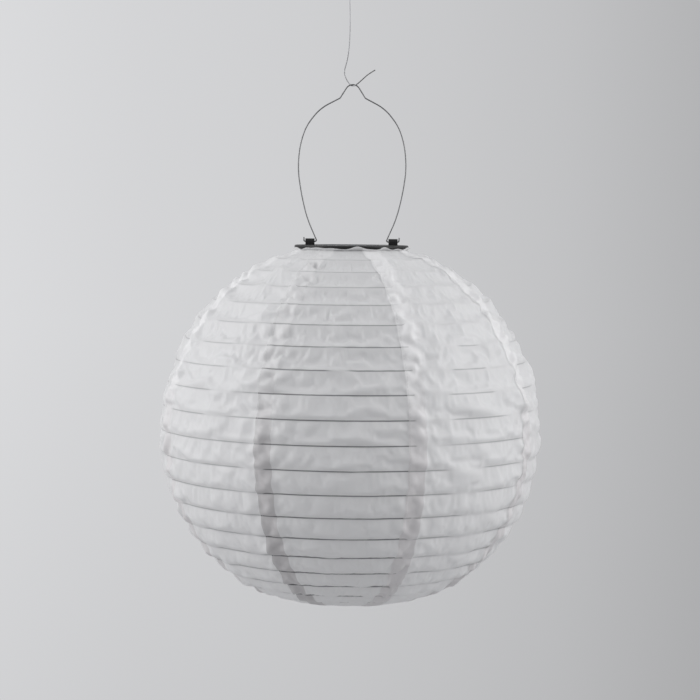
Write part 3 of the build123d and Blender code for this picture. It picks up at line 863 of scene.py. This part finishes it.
def window_finish():
    finish = Finish("clear_epoxy", (0.75, 0.80, 0.86), Roughness=0.08, IOR=1.5)
    haze = finish.noise(90, 3).step(0.5, 0.9) * 0.08
    finish.feed(finish.shader.inputs["Alpha"], haze + 0.14)
    finish.roughen(finish.noise(400, 3) * 0.1 + 0.05)
    return finish.bump(finish.noise(120, 2), 0.02 * MM)


solar_finish().put_on("solar_cell")
window_finish().put_on("solar_window")
print("solar cell and window done")

# %% [markdown]
# ## Metal, board and lamp
# The small parts inside the housing are seen only from below or with the cover off, but each has its
# own surface: zinc on the screws, nickel on the contacts, a green board, and a clear lamp lens.

# %% Small metal parts
def plated(name, colour, roughness, tarnish):
    finish = Finish(name, colour, Metallic=1.0, Roughness=roughness)
    dull = tuple(c * tarnish for c in colour)
    finish.paint(finish.mix(finish.noise(500, 4).step(0.45, 0.8), colour, dull))
    finish.roughen(finish.noise(900, 3) * 0.18 + (roughness - 0.09))
    return finish.bump(finish.noise(3000, 2), 0.01 * MM)


zinc = plated("zinc", (0.62, 0.62, 0.63), 0.34, 0.75)
zinc.put_on("housing_screws", "board_screws", "battery_cover_screw")
nickel = plated("nickel", (0.70, 0.68, 0.64), 0.24, 0.85)
nickel.put_on("battery_contact_plus", "battery_contact_minus", "battery_spring")
tinned = plated("tinned", (0.66, 0.66, 0.65), 0.3, 0.8)
tinned.put_on("lamp_legs", "cell_leads", "switch_leads")
plated("switch_steel", (0.52, 0.53, 0.54), 0.36, 0.8).put_on("switch_body")
print("metals on 10 pieces")

# %% Board and inductor
TRACK_PITCH = (2.54 * MM, 3.81 * MM)  # across and along the board
COIL_PITCH = 1.4 * MM
LACQUER = (0.16, 0.30, 0.16)


def board_finish():
    finish = Finish("board_green", (0.02, 0.12, 0.05), Roughness=0.35, Coat_Weight=0.4,
                    Coat_Roughness=0.2)
    x, y = (finish.axis(a) / pitch for a, pitch in zip("XY", TRACK_PITCH))
    tracks = (x.fraction() - 0.5).size().step(0.2, 0.15) * finish.noise(90, 0).step(0.5, 0.52)
    cross = (y.fraction() - 0.5).size().step(0.15, 0.1) * finish.noise(70, 0).step(0.53, 0.55)
    copper = tracks.larger(cross)
    finish.paint(finish.mix(copper, (0.018, 0.11, 0.045), (0.04, 0.20, 0.08)))
    return finish.bump(copper, 0.03 * MM)


def inductor_finish():
    low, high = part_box("inductor")
    middle = (low.y + high.y) / 2
    finish = Finish("inductor_lacquer", LACQUER, Roughness=0.4, Coat_Weight=0.5, Coat_Roughness=0.15)
    band = ((finish.axis("Y") - middle) / COIL_PITCH + 0.5).fraction() - 0.5
    finish.paint(finish.mix(band.size().step(0.22, 0.18), LACQUER, (0.10, 0.07, 0.05)))
    return finish.bump(finish.noise(1500, 2), 0.03 * MM)


board_finish().put_on("circuit_board")
inductor_finish().put_on("inductor")
print("board and inductor done")

# %% Battery and lamp
WRAP_GREEN = (0.05, 0.20, 0.11)
PLUS_END, MINUS_END, GREY_BAND = 2.0 * MM, 1.6 * MM, 12 * MM  # along the battery


def battery_finish():
    low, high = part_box("battery_cell")
    finish = Finish("battery_wrap", WRAP_GREEN, Roughness=0.3, Coat_Weight=0.4, Coat_Roughness=0.12)
    along = finish.axis("Y")
    ends = (along.step(high.y - PLUS_END, high.y - PLUS_END + 0.2 * MM)
            + along.step(low.y + MINUS_END, low.y + MINUS_END - 0.2 * MM))
    band = along.step(high.y - GREY_BAND, high.y - GREY_BAND + 0.3 * MM)
    wrap = finish.mix(band, WRAP_GREEN, (0.30, 0.31, 0.31))
    finish.paint(finish.mix(ends, wrap, (0.6, 0.6, 0.6)))
    finish.feed(finish.shader.inputs["Metallic"], ends)
    return finish.bump(finish.noise(700, 2), 0.03 * MM)


def lamp_finish():
    finish = Finish("lamp_lens", (0.86, 0.84, 0.72), Roughness=0.12, IOR=1.45)
    centre = (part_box("lamp")[0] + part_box("lamp")[1]) / 2
    away = (finish.axis("X") - centre.x).size() + (finish.axis("Y") - centre.y).size()
    finish.feed(finish.shader.inputs["Alpha"], away.step(3.2 * MM, 0.6 * MM) * 0.35 + 0.5)
    phosphor = away.step(2.2 * MM, 0.8 * MM)
    finish.paint(finish.mix(phosphor, (0.86, 0.86, 0.84), (0.85, 0.72, 0.28)))
    return finish.bump(finish.noise(600, 1), 0.01 * MM)


battery_finish().put_on("battery_cell")
lamp_finish().put_on("lamp")
print("finishes:", len(bpy.data.materials))

# %% [markdown]
# ## Studio
# The air behind the lantern is a plain wall of light that falls off gently from left to right, so the
# world is a ramp over the direction's X, and darker towards the ground. Two large soft lights stand
# at the sides, which brightens the flanks of the globe, and a pale floor lies well below.

# %% World
WALL_GREYS = (  # share of the way from left to right, grey
    (0.0, 0.60), (0.35, 0.66), (0.425, 0.705), (0.455, 0.66), (0.49, 0.625),
    (0.52, 0.585), (0.545, 0.54), (0.575, 0.455), (0.65, 0.50), (1.0, 0.60),
)
GROUND_FADES = ((-0.22, -0.05, 0.90), (-0.8, -0.25, 0.45))  # from and to this Z, strength below


def add_world():
    world = bpy.data.worlds.new("studio")
    bpy.context.scene.world = world
    sky = Network(world)
    direction = sky.node("ShaderNodeTexCoord").outputs["Generated"]
    split = sky.node("ShaderNodeSeparateXYZ", {}, {0: direction})
    across = {"Value": split.outputs["X"], "From Min": -1.0, "From Max": 1.0}
    share = sky.node("ShaderNodeMapRange", {}, across).outputs[0]
    stops = [(place, (grey * 0.995, grey, grey * 1.02)) for place, grey in WALL_GREYS]
    wall = sky.node("ShaderNodeValToRGB", {"stops": stops}, {0: share})
    fades = []
    for low, high, dark in GROUND_FADES:
        fade = {"Value": split.outputs["Z"], "From Min": low, "From Max": high, "To Min": dark}
        fades.append(Signal(sky, sky.node("ShaderNodeMapRange", {}, fade).outputs[0]))
    light = {"Color": wall.outputs[0], "Strength": fades[0] * fades[1]}
    background = sky.node("ShaderNodeBackground", {}, light)
    sky.node("ShaderNodeOutputWorld", {}, {"Surface": background.outputs[0]})


add_world()
print("world:", len(WALL_GREYS), "greys from left to right")

# %% Lights and floor
LIGHT_SIZE = 0.9
LIGHT_POWER = 11
LIGHT_PLACES = ((-1.3, -0.25, 0.25), (1.3, -0.25, 0.25))
FLOOR_HEIGHT = -2.0
FLOOR_RADIUS = 1.6


def add_soft_light(place):
    bpy.ops.object.light_add(type="AREA", location=place)
    light = bpy.context.object
    light.data.size = LIGHT_SIZE
    light.data.energy = LIGHT_POWER
    aim = Vector((0, 0, globe_centre)) - Vector(place)
    light.rotation_euler = aim.to_track_quat("-Z", "Y").to_euler()
    light.visible_camera = False


def add_floor():
    bpy.ops.mesh.primitive_circle_add(vertices=96, radius=FLOOR_RADIUS, fill_type="NGON",
                                      location=(0, 0, FLOOR_HEIGHT))
    floor = bpy.context.object
    floor.name = "floor"
    finish = Finish("floor_paper", (0.74, 0.74, 0.75), Roughness=0.8)
    finish.bump(finish.noise(60, 3), 0.2 * MM)
    floor.data.materials.append(finish.material)


for place in LIGHT_PLACES:
    add_soft_light(place)
add_floor()
bpy.context.scene.view_settings.view_transform = "Standard"
print("studio:", len(LIGHT_PLACES), "lights and a floor")

# %% [markdown]
# The soft pieces may stand a little proud of the CAD solids, and no more.
